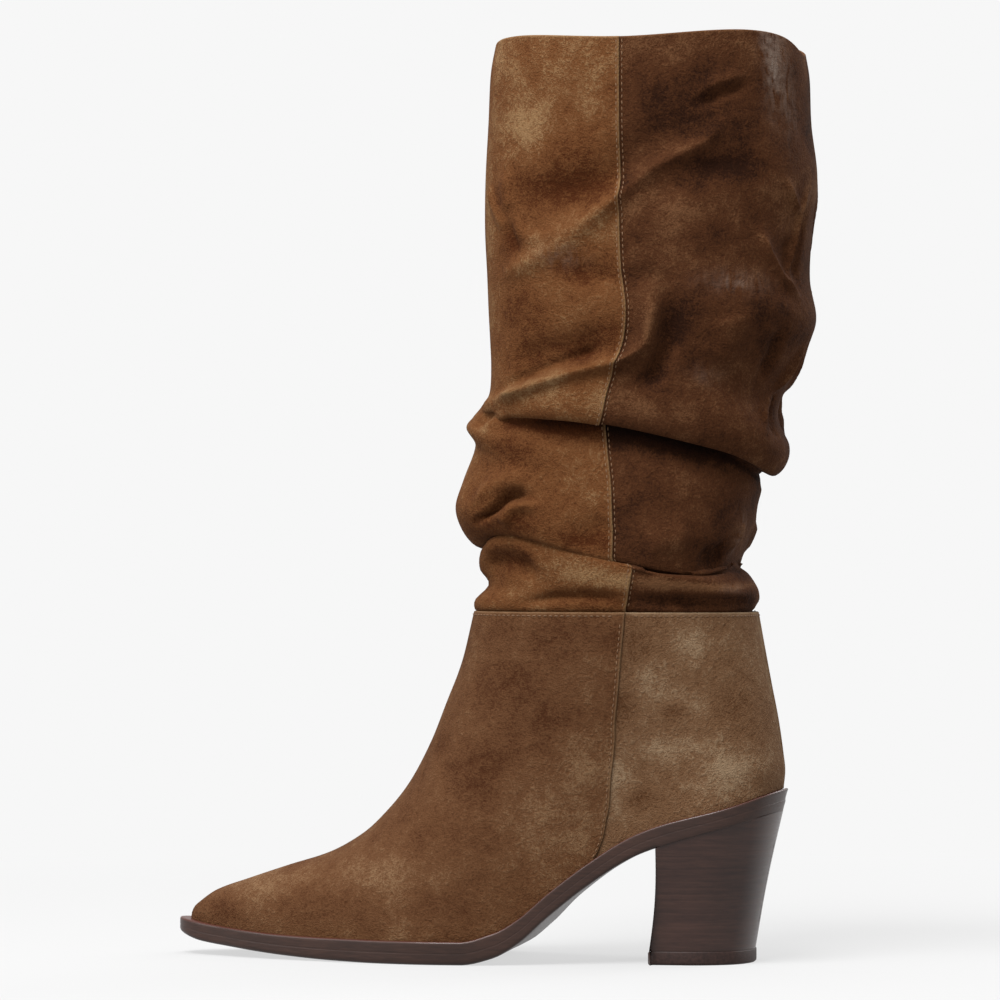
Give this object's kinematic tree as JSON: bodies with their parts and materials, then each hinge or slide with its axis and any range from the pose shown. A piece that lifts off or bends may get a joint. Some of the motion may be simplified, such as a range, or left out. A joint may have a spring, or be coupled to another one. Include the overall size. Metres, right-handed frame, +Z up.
{
  "type": "slouch boot",
  "caption": "Left suede slouch boot with a pointed toe, a stacked block heel and a wide shaft that folds over itself above the ankle.",
  "frame": {"origin": "on the floor, under the middle of the boot's box", "axes": "+Z up, toe towards -X, outer side of the left leg towards -Y"},
  "size_m": [0.2594, 0.1034, 0.3656],
  "materials": {
    "sole_leather": "dark brown sole leather, edge inked and waxed, half gloss",
    "lining_leather": "smooth tan lining leather, matt",
    "stacked_leather": "dark brown stacked leather in fine level layers, polished",
    "heel_rubber": "dark brown heel rubber, matt",
    "foot_suede": "brown suede with cloudy nap, matt",
    "shaft_suede": "darker brown suede with cloudy nap and rubbed folds, matt"
  },
  "bodies": {
    "root": {"outsole": "sole_leather", "insole": "lining_leather", "heel": "stacked_leather", "top_piece": "heel_rubber", "upper": "foot_suede", "shaft": "shaft_suede"}
  },
  "joints": []
}
